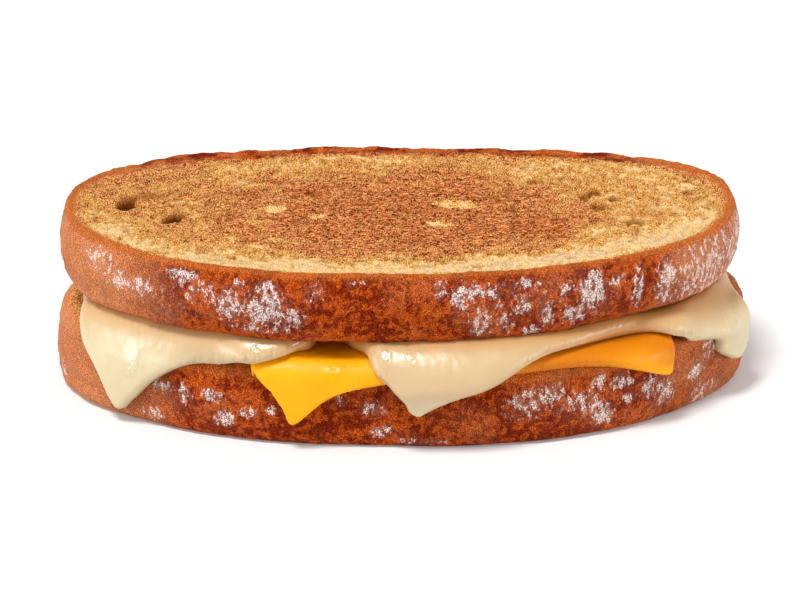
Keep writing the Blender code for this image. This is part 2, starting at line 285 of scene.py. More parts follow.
# %% Slice mesh
class SliceShape:
    """Vertices of a slice and what the relief and the colours need to know about each."""

    def __init__(self, plan, profile, base, cell, top_cell, bottom_cell, seed):
        rng = np.random.default_rng(seed)
        length = 2 * math.pi * math.sqrt((75 ** 2 + 45 ** 2) / 2)
        outline, outward = plan_outline(plan, int(length / cell))
        steps, square = walk_profile(profile, cell)
        count = len(outline)
        belt, belt_normal = [], []
        for (out, height), (side, up) in zip(steps, square):
            ring = outline + outward * out
            belt.append(np.column_stack([ring, np.full(count, height)]))
            belt_normal.append(np.column_stack([outward * side, np.full(count, up)]))
        top, top_faces = fill_ring(belt[-1][:, :2], top_cell, rng)
        bottom, bottom_faces = fill_ring(belt[0][:, :2], bottom_cell, rng)
        self.belt_count = count * len(steps)
        self.top = slice(self.belt_count, self.belt_count + len(top))
        self.bottom = slice(self.top.stop, self.top.stop + len(bottom))
        self.places = np.vstack([
            *belt,
            np.column_stack([top, np.full(len(top), steps[-1][1])]),
            np.column_stack([bottom, np.zeros(len(bottom))]),
        ])
        self.normals = np.vstack([
            *belt_normal, np.tile((0.0, 0.0, 1.0), (len(top), 1)),
            np.tile((0.0, 0.0, -1.0), (len(bottom), 1)),
        ])
        self.base = base
        self.faces = self.join_faces(count, len(steps), top_faces, bottom_faces)
        self.inward = self.depth_inside(outline, steps, count)

    def join_faces(self, count, rows, top_faces, bottom_faces):
        here = np.arange(count)
        after = (here + 1) % count
        quads = [
            np.stack([row * count + here, row * count + after,
                      (row + 1) * count + after, (row + 1) * count + here], axis=1)
            for row in range(rows - 1)
        ]
        last_ring = (rows - 1) * count
        top = np.where(top_faces < count, top_faces + last_ring, top_faces - count + self.top.start)
        bottom = np.where(bottom_faces < count, bottom_faces, bottom_faces - count + self.bottom.start)
        return np.vstack(quads).tolist() + top.tolist() + bottom[:, ::-1].tolist()

    def depth_inside(self, outline, steps, count):
        """Distance in from the outline, on the flats and over the crest."""
        inward = np.repeat(-steps[:, 0], count)
        tree = kdtree.KDTree(count)
        for k, place in enumerate(outline):
            tree.insert((*place, 0.0), k)
        tree.balance()
        flats = self.places[self.belt_count:]
        return np.concatenate([inward, [tree.find((x, y, 0.0))[2] for x, y, _ in flats.tolist()]])

    def mesh(self, name, relief, marks):
        """Blender object with the relief pushed along the normals and the marks as attributes."""
        places = self.places + self.normals * relief[:, None]
        places[:, 2] += self.base
        return new_piece(name, places, self.faces, marks)


def new_piece(name, places, faces, marks):
    mesh = bpy.data.meshes.new(name)
    mesh.from_pydata(to_model(places).tolist(), [], faces)
    mesh.shade_smooth()
    for mark, values in marks.items():
        attribute = mesh.attributes.new(mark, "FLOAT", "POINT")
        attribute.data.foreach_set("value", np.asarray(values, dtype=np.float32))
    piece = bpy.data.objects.new(name, mesh)
    bpy.context.scene.collection.objects.link(piece)
    triangles = sum(len(face) - 2 for face in faces)
    print(f"{name}: {len(places)} vertices, {triangles} triangles")
    return piece


# %% [markdown]
# ## Pores, hollows and browning of the toasted face
# A griddle browns bread where it touches: most in the middle of the face, least just inside the
# crust, and not at all in hollows. The dough was rolled up before baking, so its small pores lie
# in arcs round the middle. Large pores are listed one by one; the small ones are scattered.

# %% Toasted face
TOAST_CENTRE = (-2.0, 1.0)
TOAST_REACH = (38.0, 29.0)

# Deep pores: x, y, half length, half width, depth, turn in degrees.
PORES = (
    (-63.0, 8.3, 2.1, 4.6, 2.6, -10.0),
    (-51.8, -1.2, 2.0, 4.2, 2.6, -24.0),
    (-58.0, 15.0, 4.0, 3.0, 0.7, 20.0),
    (-21.0, 17.0, 3.2, 1.6, 1.1, 8.0),
    (-10.0, 9.0, 2.6, 1.3, 1.4, -4.0),
    (-1.0, 4.5, 2.0, 1.4, 1.1, -10.0),
    (23.7, 6.0, 1.8, 1.3, 2.2, 0.0),
    (13.5, -0.5, 2.4, 1.2, 0.9, 0.0),
    (29.0, 25.0, 2.2, 1.6, 0.9, 0.0),
    (39.6, 14.5, 1.4, 2.6, 1.9, 0.0),
    (41.9, 17.2, 1.5, 2.2, 1.5, 0.0),
    (46.2, 12.6, 1.2, 2.4, 2.1, 0.0),
    (42.6, 6.5, 1.9, 2.6, 1.2, 0.0),
    (50.3, -3.8, 2.1, 1.9, 1.9, 10.0),
    (63.0, 17.0, 1.3, 1.6, 0.9, 0.0),
    (66.5, 14.0, 0.9, 1.0, 0.8, 0.0),
)
# Hollows that never touched the griddle: x, y, half length, half width, depth.
PALE_HOLLOWS = (
    (-29.5, 6.0, 2.4, 2.6, 0.5),
    (-20.5, 1.0, 2.2, 2.2, 0.5),
    (9.5, 9.0, 3.6, 3.0, 0.6),
    (13.5, 8.0, 2.0, 2.4, 0.6),
    (6.8, -5.0, 2.4, 2.4, 0.5),
)


def bowl(places, x, y, half_length, half_width, turn=0.0, uneven=0.0):
    """A round-bottomed bowl, 1 deep in the middle, and the area round it, 1 in the middle."""
    cosine, sine = math.cos(math.radians(turn)), math.sin(math.radians(turn))
    across, along = places[:, 0] - x, places[:, 1] - y
    u = (across * cosine + along * sine) / half_length
    v = (along * cosine - across * sine) / half_width
    reach = np.hypot(u, v) * (1.0 + uneven)
    return np.sqrt(np.clip(1.0 - reach * reach, 0.0, 1.0)), smooth(1.25, 0.80, reach)


def scatter_pores(plan, count, seed):
    """Small pores: x, y, half length, half width, depth, turn, lying in arcs round the middle."""
    rng = np.random.default_rng(seed)
    pores = []
    for _ in range(count):
        angle, reach = rng.uniform(0, 2 * math.pi), math.sqrt(rng.uniform(0.0, 0.9))
        x = plan["centre"][0] + 72 * reach * math.cos(angle)
        y = plan["centre"][1] - 7 + 43 * reach * math.sin(angle)
        turn = math.degrees(math.atan2(0.4 * (x - TOAST_CENTRE[0]), -(y - TOAST_CENTRE[1])))
        length = rng.uniform(0.5, 1.5)
        pores.append((x, y, length, rng.uniform(0.4, 0.8), rng.uniform(0.15, 0.55), turn))
    return pores


def swirl(places, size, arc, seed=0.0):
    """Noise drawn out along arcs round the middle of the loaf."""
    across = (places[:, 0] - TOAST_CENTRE[0]) * 0.6
    along = places[:, 1] - TOAST_CENTRE[1]
    angle, reach = np.arctan2(along, across), np.hypot(across, along)
    rolled = np.column_stack([reach / size, arc * np.cos(angle), arc * np.sin(angle)])
    return lumps(rolled, 1.0, 3, seed)


def browning(places):
    """How brown the griddle made the face: 0 pale, 1 darkest."""
    across = (places[:, 0] - TOAST_CENTRE[0]) / TOAST_REACH[0]
    along = (places[:, 1] - TOAST_CENTRE[1]) / TOAST_REACH[1]
    reach = np.hypot(across, along) + 0.22 * lumps(places, 22.0, 3, 4.0)
    brown = 0.30 + 0.45 * smooth(1.35, 0.60, reach)
    brown += 0.24 * swirl(places, 3.0, 5.0, 8.0) * smooth(1.9, 0.8, reach)
    return brown + 0.15 * lumps(places, 6.0, 3, 12.0) + 0.07 * lumps(places, 2.4, 3, 15.0, (3.0, 1.0, 1.0))


# %% [markdown]
# ## The upper slice
# Its face is sunk a little inside the crust, which stands up as a rim. The rim tore unevenly at
# the back, where the loaf was pulled from its neighbours, and is smooth at the front. Flour from
# the proving basket still clings to the crust in clumps and drifts.

# %% Flour on the crust
# Drifts of flour: x along the slice, height above its base, half length, half height, thickness.
UPPER_FLOUR = (
    (-67, 12, 3.0, 2.4, 0.7), (-62, 9, 3.5, 2.2, 0.7), (-57, 9, 2.0, 2.2, 0.8),
    (-48, 13, 3.6, 1.6, 0.75), (-44, 10, 4.4, 2.6, 0.55), (-38, 8, 2.6, 3.4, 0.95),
    (-36, 13, 1.2, 0.8, 0.9), (-30, 8, 4.6, 4.0, 1.0), (-30, 13, 2.0, 1.0, 0.9),
    (-24, 6, 2.4, 2.4, 0.85), (-31, 3, 6.5, 1.0, 0.6), (-20, 12, 2.2, 2.4, 0.5),
    (-11, 14, 1.8, 0.7, 0.5), (7, 13, 1.4, 2.2, 0.7), (12, 11, 2.6, 3.0, 0.95),
    (17, 12, 3.6, 1.5, 0.75), (16, 5, 2.4, 3.4, 0.85), (21, 5, 1.8, 3.0, 0.75),
    (25, 13, 3.6, 1.2, 0.7), (25, 8, 2.0, 1.6, 0.85), (27, 2, 2.0, 1.4, 0.8),
    (30, 6, 1.8, 2.8, 0.85), (34, 11, 1.8, 1.6, 0.7), (36, 5, 2.4, 2.6, 0.95),
    (40, 10, 2.6, 4.4, 1.0), (45, 11, 2.0, 1.6, 0.7), (50, 9, 1.4, 4.2, 0.8),
    (56, 9, 2.0, 4.8, 0.9), (66, 8, 9.0, 8.0, 0.66), (74, 8, 5.0, 8.0, 0.72),
    (-50, 8, 14.0, 6.0, 0.16), (30, 8, 20.0, 7.0, 0.20),
)
LOWER_FLOUR = (
    (-52, 10, 2.6, 1.4, 0.7), (-47, 9, 1.4, 2.4, 0.8), (-54, 3, 2.0, 1.4, 0.9),
    (-75, 5, 1.2, 2.0, 0.5), (-41, 10, 2.4, 1.4, 0.8), (-38, 5, 2.0, 1.6, 0.9),
    (-33, 7, 2.2, 1.2, 0.8), (-28, 8, 1.2, 1.0, 0.9), (-13, 11, 1.4, 1.4, 0.6),
    (-6, 9, 2.6, 1.8, 0.6), (-4, 4, 2.4, 1.4, 0.8), (5, 2, 5.5, 1.0, 0.5),
    (27, 10, 4.6, 3.4, 0.6), (33, 11, 2.6, 2.4, 0.75), (38, 9, 3.0, 2.2, 0.7),
    (41, 8, 2.2, 3.0, 0.8), (44, 5, 2.4, 2.4, 1.0), (43, 13, 1.6, 2.2, 0.8),
    (48, 12, 2.6, 1.8, 0.8), (49, 8, 1.6, 1.4, 0.8), (54, 9, 1.8, 3.2, 0.8),
    (58, 7, 2.4, 2.8, 0.9), (65, 9, 1.8, 2.2, 0.75), (68, 13, 2.0, 2.4, 0.6),
    (67, 3, 3.0, 2.4, 0.65), (-40, 7, 14.0, 5.0, 0.12), (45, 8, 18.0, 6.0, 0.14),
)
# The rest of the crust, which the drifts don't reach, carries a thinner dusting of its own.
BACK_FLOUR = 0.55


def flour_on(shape, drifts, back_side):
    """How much flour lies on each vertex of the crust, 0 to 1."""
    x, y, height = shape.places.T
    is_front = smooth(back_side + 4.0, back_side - 4.0, y)
    flour = np.zeros(len(x))
    for along, level, half_length, half_height, thickness in drifts:
        reach = np.hypot((x - along) / half_length, (height - level) / half_height)
        flour = np.maximum(flour, thickness * smooth(1.7, 0.3, reach))
    dusting = BACK_FLOUR * smooth(0.0, 0.35, lumps(shape.places, 14.0, 3, 31.0))
    return flour * is_front + dusting * (1.0 - is_front)


def dust_on(shape, right):
    """Fine film of flour, thickest at the two ends of the slice."""
    x = shape.places[:, 0]
    ends = 0.75 * smooth(-42.0, -68.0, x) + right * smooth(48.0, 68.0, x)
    return np.clip(ends + 0.25 * lumps(shape.places, 12.0, 3, 33.0), 0.0, 1.0)


# %% Relief and colour of the upper slice
def upper_slice():
    shape = SliceShape(UPPER_PLAN, upper_profile(), UPPER_BASE, 0.52, 0.42, 2.2, 11)
    x, y, height = shape.places.T
    is_face = smooth(CRUST_WIDTH - 0.8, CRUST_WIDTH + 1.2, shape.inward)
    is_face *= height > UPPER_THICKNESS / 2
    is_crust = 1.0 - is_face
    at_back = smooth(0.0, 35.0, y - UPPER_PLAN["centre"][1])
    on_crest = smooth(UPPER_THICKNESS - 1.6, UPPER_THICKNESS - 0.3, height) * is_crust
    at_ends = smooth(-38.0, -60.0, x) + smooth(42.0, 66.0, x)
    scorched = lumps(shape.places, 9.0, 3, 19.0) + 0.25 * smooth(40.0, 10.0, np.abs(x - 5.0))
    scorched = at_back * smooth(-0.05, 0.30, scorched)
    flour = flour_on(shape, UPPER_FLOUR, UPPER_PLAN["centre"][1]) * is_crust
    flour *= smooth(UPPER_THICKNESS - 0.2, UPPER_THICKNESS - 1.6, height)

    uneven = 0.22 * lumps(shape.places, 3.0, 2, 21.0)
    cells = smooth(0.05, 0.50, lumps(shape.places, 0.9, 2, 3.0, (1.0, 1.5, 1.0)))
    furrows = smooth(0.05, 0.45, swirl(shape.places, 1.3, 9.0, 2.0))
    face = 0.30 * lumps(shape.places, 19.0, 3, 1.0) - 0.30 * cells - 0.35 * furrows
    toasted = smooth(0.35, 0.65, browning(shape.places))
    # Painted shade: cells, furrows and pores are darkened in colour as well as sunk.
    painted_pit_shade = np.maximum(0.35 * cells, (0.25 + 0.45 * toasted) * furrows)
    for px, py, length, width, depth, turn in PORES:
        hole, around_hole = bowl(shape.places, px, py, length, width, turn, uneven)
        face -= depth * hole
        painted_pit_shade = np.maximum(painted_pit_shade, around_hole * min(1.0, 0.5 + depth / 3.0) + hole * max(0.0, depth - 2.0))
    for px, py, length, width, depth, turn in scatter_pores(UPPER_PLAN, 620, 5):
        hole, around_hole = bowl(shape.places, px, py, length, width, turn, uneven)
        face -= depth * hole
        painted_pit_shade = np.maximum(painted_pit_shade, 0.6 * around_hole * depth / 0.55)
    at_front = 1.0 - smooth(-25.0, 5.0, y - UPPER_PLAN["centre"][1])
    brown = browning(shape.places)
    brown -= 0.34 * at_front * smooth(16.0, 6.0, shape.inward)
    brown += 0.14 * smooth(-34.0, -56.0, x)
    brown += 0.35 * at_back * smooth(8.0, 3.5, shape.inward)
    pale = np.zeros(len(x))
    for px, py, length, width, depth in PALE_HOLLOWS:
        hole, around_hole = bowl(shape.places, px, py, length, width, 0.0, 2.0 * uneven)
        face -= depth * hole
        pale = np.maximum(pale, around_hole)
    brown += 0.85 * (0.06 - brown) * pale
    painted_pit_shade *= 1.0 - pale

    crust = 0.35 * lumps(shape.places, 11.0, 3, 5.0) + 0.16 * lumps(shape.places, 2.6, 3, 6.0)
    crust += 0.07 * lumps(shape.places, 0.9, 2, 7.0)
    crust += 0.12 * lumps(shape.places, 1.6, 3, 9.0, (1.0, 1.0, 4.0))
    crust += 0.16 * flour * smooth(-0.2, 0.4, lumps(shape.places, 1.3, 3, 41.0))
    torn = 0.32 * lumps(shape.places, 8.0, 5, 10.0) + 0.14 * lumps(shape.places, 2.4, 3, 18.0)
    crust += on_crest * (0.2 + 0.8 * at_back) * (torn - 0.45 + 0.3 * at_ends)
    heel = smooth(3.5, 1.0, height)
    crust -= 1.2 * heel * smooth(32.0, 48.0, x) * at_front
    relief = face * is_face + crust * is_crust
    crumb_edge = shape.inward + (0.8 + at_back) * lumps(shape.places, 2.2, 4, 14.0) - 1.6 * at_back
    marks = {
        "crust": 1.0 - smooth(0.0, 1.4 + 2.0 * at_back, crumb_edge - 1.4) * (height > 8.0),
        "browning": np.clip(brown, -0.05, 1.0) * is_face + 0.5 * is_crust,
        "flour": flour, "painted_pit_shade": painted_pit_shade * is_face, "dust": dust_on(shape, 0.65) * (1.0 - on_crest),
        "rim": on_crest * (2.0 * scorched - 0.4) - 0.8 * heel,
        "edge": on_crest * np.clip(0.6 + 0.4 * at_ends - 0.9 * scorched, 0.0, 1.0),
    }
    return shape.mesh("toasted_bread_upper", relief, marks)


upper = upper_slice()

# %% [markdown]
# ## The lower slice
# It is built the same way. Its toasted face is underneath, and its inner face is hidden by the
# cheese but for a narrow strip along the rim.


# %% Relief and colour of the lower slice
def lower_slice():
    shape = SliceShape(LOWER_PLAN, lower_profile(), 0.0, 0.52, 1.1, 0.75, 12)
    x, y, height = shape.places.T
    is_top = height > LOWER_THICKNESS / 2
    is_face = smooth(1.2, 3.4, shape.inward)
    is_crust = 1.0 - is_face
    flour = flour_on(shape, LOWER_FLOUR, LOWER_PLAN["centre"][1]) * is_crust
    uneven = 0.22 * lumps(shape.places, 3.0, 2, 61.0)
    face = 0.13 * lumps(shape.places, 1.6, 3, 63.0)
    # Painted shade in the pores, as on the upper slice.
    painted_pit_shade = np.zeros(len(x))
    for px, py, length, width, depth, turn in scatter_pores(LOWER_PLAN, 300, 6):
        hole, around_hole = bowl(shape.places, px, py, 1.5 * length, 1.5 * width, turn, uneven)
        face -= depth * hole
        painted_pit_shade = np.maximum(painted_pit_shade, 0.6 * around_hole * depth / 0.55)
    crust = 0.30 * lumps(shape.places, 12.0, 3, 65.0) + 0.16 * lumps(shape.places, 2.8, 3, 66.0)
    crust += 0.07 * lumps(shape.places, 0.9, 2, 67.0)
    crust += 0.16 * lumps(shape.places, 3.2, 3, 68.0, (3.0, 3.0, 0.8))
    crust += 0.16 * flour * smooth(-0.2, 0.4, lumps(shape.places, 1.3, 3, 71.0))
    relief = face * is_face + crust * is_crust
    relief = np.where(height > 1.0, relief, np.minimum(relief, 0.0))
    shoulder = smooth(LOWER_THICKNESS - 4.0, LOWER_THICKNESS - 1.5, height) * is_crust
    marks = {
        "crust": 1.0 - smooth(1.0, 3.0, shape.inward + 0.8 * lumps(shape.places, 2.4, 3, 74.0)),
        "browning": np.where(is_top, 0.45, np.clip(browning(shape.places), 0.0, 1.0)),
        "flour": flour, "painted_pit_shade": painted_pit_shade * is_face, "dust": dust_on(shape, 0.35),
        "rim": -0.9 * shoulder, "edge": 0.6 * shoulder,
    }
    return shape.mesh("toasted_bread_lower", relief, marks)


lower = lower_slice()

# %% [markdown]
# ## Melted cheese
# A cheese slice is cut flat, melts until its corners droop, and sets again over the bread. So each
# one is drawn flat, as a smooth outline, and draped: flat on the lower slice, round its rim and
# down its crust. Its edge is rounded by surface tension, more above than below.

# %% Outlines of the cheese, laid out flat
YELLOW_CUT = (
    (-24.2, -48.2), (-14.7, -43.0), (-2.5, -40.6), (22.2, -38.6), (45.0, -31.8), (56.5, -28.8),
    (59.9, -26.5), (57.6, -20.5), (50.0, 15.0), (43.5, 48.0), (38.5, 59.0), (33.5, 58.0),
    (21.0, 49.0), (0.0, 45.0), (-37.0, 38.5), (-44.0, 33.0), (-39.0, -5.0), (-32.8, -34.4),
    (-31.6, -36.6), (-30.1, -38.6), (-28.6, -40.4), (-26.7, -44.0),
)
WHITE_LEFT_CUT = (
    (-68.8, -31.9), (-62.8, -32.4), (-55.0, -31.0), (-46.5, -31.0), (-36.0, -34.4),
    (-30.0, -36.0), (-23.0, -36.0), (-18.8, -32.0), (-16.0, -10.0), (-13.0, 20.0), (-15.0, 41.0), (-26.0, 45.5),
    (-42.0, 46.5), (-52.0, 52.0), (-58.5, 53.5), (-64.0, 44.0), (-70.0, 28.0), (-72.0, 6.0),
    (-70.3, -10.0), (-69.3, -22.0),
)
WHITE_RIGHT_CUT = (
    (3.4, -47.9), (5.6, -47.0), (9.5, -45.2), (22.2, -39.0), (37.0, -32.6), (49.0, -25.6),
    (57.8, -21.8), (66.5, -14.8), (70.2, -12.2), (72.6, -13.4), (76.5, -11.7), (80.0, -8.8), (79.5, -4.0),
    (75.6, 1.5), (74.6, 7.5), (72.0, 18.0), (70.0, 30.0), (65.0, 45.0), (60.0, 53.0),
    (55.0, 52.5), (46.0, 46.0), (24.0, 45.0), (8.0, 48.0), (0.0, 54.0), (-5.5, 55.5),
    (-10.0, 49.0), (-11.5, 20.0), (-14.5, -22.0), (-12.5, -32.0), (-7.0, -38.6), (-2.5, -40.9),
    (0.3, -44.2), (1.3, -46.8),
)
COVER_MARGIN = 1.0
COVER_FALL = 6.0
TOP_ROUND = {"yellow": 0.9, "white": 1.9}
BOTTOM_ROUND = 0.8
EDGE_CELL = 0.36
CHEESE_CELL = 0.85
SETTLE = 0.12
# The upper slice presses the white cheese up against its heel; past its outline the cheese sinks.
PRESSED_TOP = UPPER_BASE - LOWER_THICKNESS + 0.7
PRESS_INSIDE = -2.5
PRESS_OUTSIDE = 1.5


def closed_curve(points, steps):
    """Smooth closed curve through the points (Catmull-Rom)."""
    knots = np.array(points)
    before, after, next_after = (np.roll(knots, shift, axis=0) for shift in (1, -1, -2))
    curve = []
    for part in np.arange(steps) / steps:
        square, cube = part * part, part * part * part
        curve.append(0.5 * (
            2 * knots + (after - before) * part
            + (2 * before - 5 * knots + 4 * after - next_after) * square
            + (3 * knots - before - 3 * after + next_after) * cube
        ))
    return np.stack(curve, axis=1).reshape(-1, 2)


# %% [markdown]
# Draping needs one question answered for many points: how far is this point from a loop, and on
# which side of it? A k-d tree finds the nearest step of the loop, and the two edges that meet
# there give the exact distance.


# %% Distance to a loop
class Loop:
    """Closed loop that answers which of its places is nearest, and how far inside a point lies."""

    def __init__(self, places, outward):
        self.places, self.outward = places, outward
        self.tree = kdtree.KDTree(len(places))
        for k, place in enumerate(places):
            self.tree.insert((*place, 0.0), k)
        self.tree.balance()

    def nearest(self, points):
        """Nearest place, outward direction there, and signed distance (negative inside)."""
        nearest = np.array([self.tree.find((x, y, 0.0))[1] for x, y in points.tolist()])
        best = None
        for start in ((nearest - 1) % len(self.places), nearest):
            end = (start + 1) % len(self.places)
            run = self.places[end] - self.places[start]
            part = ((points - self.places[start]) * run).sum(axis=1) / (run * run).sum(axis=1)
            part = np.clip(part, 0.0, 1.0)[:, None]
            place = self.places[start] + run * part
            outward = self.outward[start] * (1 - part) + self.outward[end] * part
            distance = np.linalg.norm(points - place, axis=1)
            if best is None:
                best = [place, outward, distance]
            else:
                closer = distance < best[2]
                best[0] = np.where(closer[:, None], place, best[0])
                best[1] = np.where(closer[:, None], outward, best[1])
                best[2] = np.where(closer, distance, best[2])
        place, outward, distance = best
        side = np.sign(((points - place) * outward).sum(axis=1))
        return place, outward, distance * np.where(side == 0, 1.0, side)


# %% Lay a flat point on the bread
# The roll starts this far in from the rim.
LEAD = 2.0


class Drape:
    """The lower slice's top, rim and crust, unrolled to lay cheese on."""

    def __init__(self):
        outline, outward = plan_outline(LOWER_PLAN, 1440)
        self.fold = Loop(outline - outward * RIM_RADIUS, outward)
        steps, square = walk_profile(lower_profile()[::-1], 0.1)
        square = -square
        steps = steps + (RIM_RADIUS, 0.0)
        level = np.column_stack([np.linspace(-LEAD, 0.0, 20, False), np.full(20, steps[0, 1])])
        steps = np.vstack([level, steps])
        square = self.eased(np.vstack([np.tile((0.0, 1.0), (20, 1)), square]))
        down = np.concatenate([[0.0], np.cumsum(np.linalg.norm(np.diff(steps, axis=0), axis=1))])
        down -= LEAD
        self.table = (down, steps[:, 0], steps[:, 1], square[:, 0], square[:, 1])

    def eased(self, square):
        """Directions blended over 2.5 mm, so that thick cheese rolls off the rim without a crease."""
        padded = np.pad(square, ((12, 12), (0, 0)), mode="edge")
        soft = [np.convolve(padded[:, k], np.full(25, 1 / 25), "valid") for k in (0, 1)]
        soft = np.stack(soft, axis=1)
        return soft / np.linalg.norm(soft, axis=1)[:, None]

    def places(self, flat, lift):
        """Where flat points end up when they are held `lift` mm off the bread."""
        place, outward, distance = self.fold.nearest(flat)
        beyond = np.maximum(distance, -LEAD)
        down, out, height, lift_out, lift_up = self.table
        side = np.interp(beyond, down, out) + lift * np.interp(beyond, down, lift_out)
        level = np.interp(beyond, down, height) + lift * np.interp(beyond, down, lift_up)
        plan = np.where((distance < -LEAD)[:, None], flat, place + outward * side[:, None])
        return np.column_stack([plan, level])


drape = Drape()
yellow_loop = Loop(*even_steps(closed_curve(YELLOW_CUT, 12), 900))
upper_loop = Loop(*plan_outline(UPPER_PLAN, 1440))


def yellow_cover(flat):
    """1 over the yellow cheese, falling to 0 a little way past its edge."""
    past = yellow_loop.nearest(flat)[2] - COVER_MARGIN
    return smooth(COVER_FALL, 0.0, past)


def yellow_layer(flat):
    """Underside of the yellow cheese above the bread, and its thickness."""
    return np.full(len(flat), -SETTLE), np.full(len(flat), CHEESE_THICKNESS + GAP + SETTLE)


def pressing(flat):
    """1 where the upper slice presses on the cheese, 0 past its heel and past the lower rim."""
    under_heel = smooth(PRESS_OUTSIDE, PRESS_INSIDE, upper_loop.nearest(flat)[2])
    return under_heel * smooth(3.0, -0.5, drape.fold.nearest(flat)[2])


def white_layer(flat):
    """Underside of the white cheese above the bread, and its thickness."""
    cover = yellow_cover(flat)
    underside = (CHEESE_THICKNESS + 2 * GAP) * cover - SETTLE
    loose = CHEESE_THICKNESS + (GAP + SETTLE) * (1.0 - cover)
    return underside, loose + (PRESSED_TOP - underside - loose) * pressing(flat)


# %% Cheese mesh
# Where the cheese is wet with oil: x and y of the flat place, how far it spreads, height of the bead.
BEADS = (
    (-58.8, -26.2, 4.2, 0.50), (-69.0, -15.0, 3.5, 0.0), (-31.0, -34.5, 3.0, 0.0),
    (-24.0, -35.0, 3.5, 0.0), (-15.0, -39.4, 3.0, 0.1), (-4.0, -37.7, 3.5, 0.1),
    (2.0, -37.6, 3.0, 0.1), (49.0, -27.8, 1.8, 0.0), (53.0, -26.2, 1.8, 0.0),
    (57.0, -24.0, 1.8, 0.0), (39.0, -34.0, 1.2, 0.1), (44.0, -31.6, 1.4, 0.1),
    (72.0, -8.0, 4.4, 0.55),
)
white_loop = Loop(*even_steps(closed_curve(WHITE_RIGHT_CUT, 12), 900))


def rolled_shade(flat):
    """Painted shade on the white cheese: most where it rolls under the upper slice, and a little over the
    yellow cheese, standing for the yellow seen through it.
    """
    rolled = smooth(3.4, -0.8, drape.fold.nearest(flat)[2])
    return np.maximum(rolled, 0.35 * yellow_cover(flat))


def covered_shade(flat):
    """1 beside the white cheese: painted shade that the white cheese casts on the yellow one."""
    return smooth(6.5, 0.5, white_loop.nearest(flat)[2]) * smooth(15.0, 25.0, flat[:, 0])


def melted_slice(name, cut, layer, shading, top_round, seed):
    rng = np.random.default_rng(seed)
    curve = closed_curve(cut, 24)
    length = np.linalg.norm(np.diff(curve, axis=0), axis=1).sum()
    outline, outward = even_steps(curve, int(length / EDGE_CELL))
    flat, faces = fill_ring(outline, EDGE_CELL, rng, CHEESE_CELL)
    flat = np.vstack([outline, flat])
    count = len(outline)
    edge = Loop(outline, outward)
    inset = np.maximum(-edge.nearest(flat)[2], 0.0)
    inset[:count] = 0.0
    underside, thickness = layer(flat)
    level = np.column_stack([flat, np.zeros(len(flat))])
    sag = 0.22 * lumps(level, 13.0, 2, seed) + 0.05 * lumps(level, 3.5, 2, seed + 3.0)
    sag *= smooth(0.0, 6.0, inset)
    beads = np.zeros(len(flat))
    for x, y, reach, height in BEADS:
        bead = smooth(reach, 0.0, np.hypot(flat[:, 0] - x, flat[:, 1] - y))
        beads = np.maximum(beads, bead)
        sag += height * bead
    middle = underside + 0.42 * thickness
    top_share = np.sqrt(1.0 - (1.0 - np.clip(inset / top_round, 0.0, 1.0)) ** 2)
    bottom_share = np.sqrt(1.0 - (1.0 - np.clip(inset / BOTTOM_ROUND, 0.0, 1.0)) ** 2)
    top = drape.places(flat, middle + (0.58 * thickness + sag) * top_share)
    bottom = drape.places(flat[count:], (middle - 0.42 * thickness * bottom_share)[count:])
    under = np.where(faces < count, faces, faces - count + len(top))
    # Painted shade: how far each vertex's colour is darkened towards the cheese's shaded colour.
    painted_shade = shading(flat)
    marks = {
        "painted_shade": np.concatenate([painted_shade, painted_shade[count:]]),
        "beads": np.concatenate([beads, beads[count:]]),
    }
    all_faces = faces.tolist() + under[:, ::-1].tolist()
    return new_piece(name, np.vstack([top, bottom]), all_faces, marks)


yellow = melted_slice("melted_cheese_yellow", YELLOW_CUT, yellow_layer, covered_shade, 0.9, 3)
white_left = melted_slice(
    "melted_cheese_white_left", WHITE_LEFT_CUT, white_layer, rolled_shade, 1.9, 4
)
white_right = melted_slice(
    "melted_cheese_white_right", WHITE_RIGHT_CUT, white_layer, rolled_shade, 1.9, 5
)

# %% [markdown]
# ## Colours and nodes
# Colours are given as they look on a screen, in sRGB, and turned to the linear values that the
# shader works in. One small function adds a node: its options, then its inputs, each of which is
# either a plain value or the output of another node.


# %% Colour and node helpers
def colour(code):
    """sRGB hex colour to linear RGBA."""
    parts = [int(code[k:k + 2], 16) / 255 for k in (1, 3, 5)]
    linear = [p / 12.92 if p <= 0.04045 else ((p + 0.055) / 1.055) ** 2.4 for p in parts]
    return (*linear, 1.0)


def add_node(tree, kind, options, inputs):
    node = tree.nodes.new("ShaderNode" + kind)
    for name, value in options.items():
        setattr(node, name, value)
    for name, value in inputs.items():
        if isinstance(value, bpy.types.NodeSocket):
            tree.links.new(value, node.inputs[name])
        else:
            node.inputs[name].default_value = value
    return node


def new_material(name):
    material = bpy.data.materials.new(name)
    material.use_nodes = True
    tree = material.node_tree
    shader = tree.nodes["Principled BSDF"]
    where = add_node(tree, "TexCoord", {}, {}).outputs["Object"]
    millimetres = add_node(tree, "VectorMath", {"operation": "SCALE"}, {0: where, "Scale": 1000.0})
    return material, tree, shader, millimetres.outputs[0]


# %% [markdown]
# ## Toasted bread
# Bread is starch foam browned by heat, so it is matte: IOR about 1.45 and roughness 0.6 to 0.8,
# the crust a little glossier than the crumb because butter has soaked into it. One material holds
# crumb, crust and flour, because on the real slice one grades into the next. The meshes say where
# each lies; the nodes break the borders up with grain from 0.3 to 3 mm.


# %% Colours of the bread
# Untoasted, golden and brown: painted light on the crest of each grain, and painted shade at its base.
CRUMB_PAINTED_LIGHT = ("#f2d8b8", "#ffde9a", "#fcc26e", "#ffae68", "#f49456")
CRUMB_PAINTED_SHADE = ("#dcb890", "#e4ae6c", "#b06e2c", "#622608", "#3c1202")
CRUMB_STOPS = (-0.30, 0.10, 0.30, 0.52, 0.80)
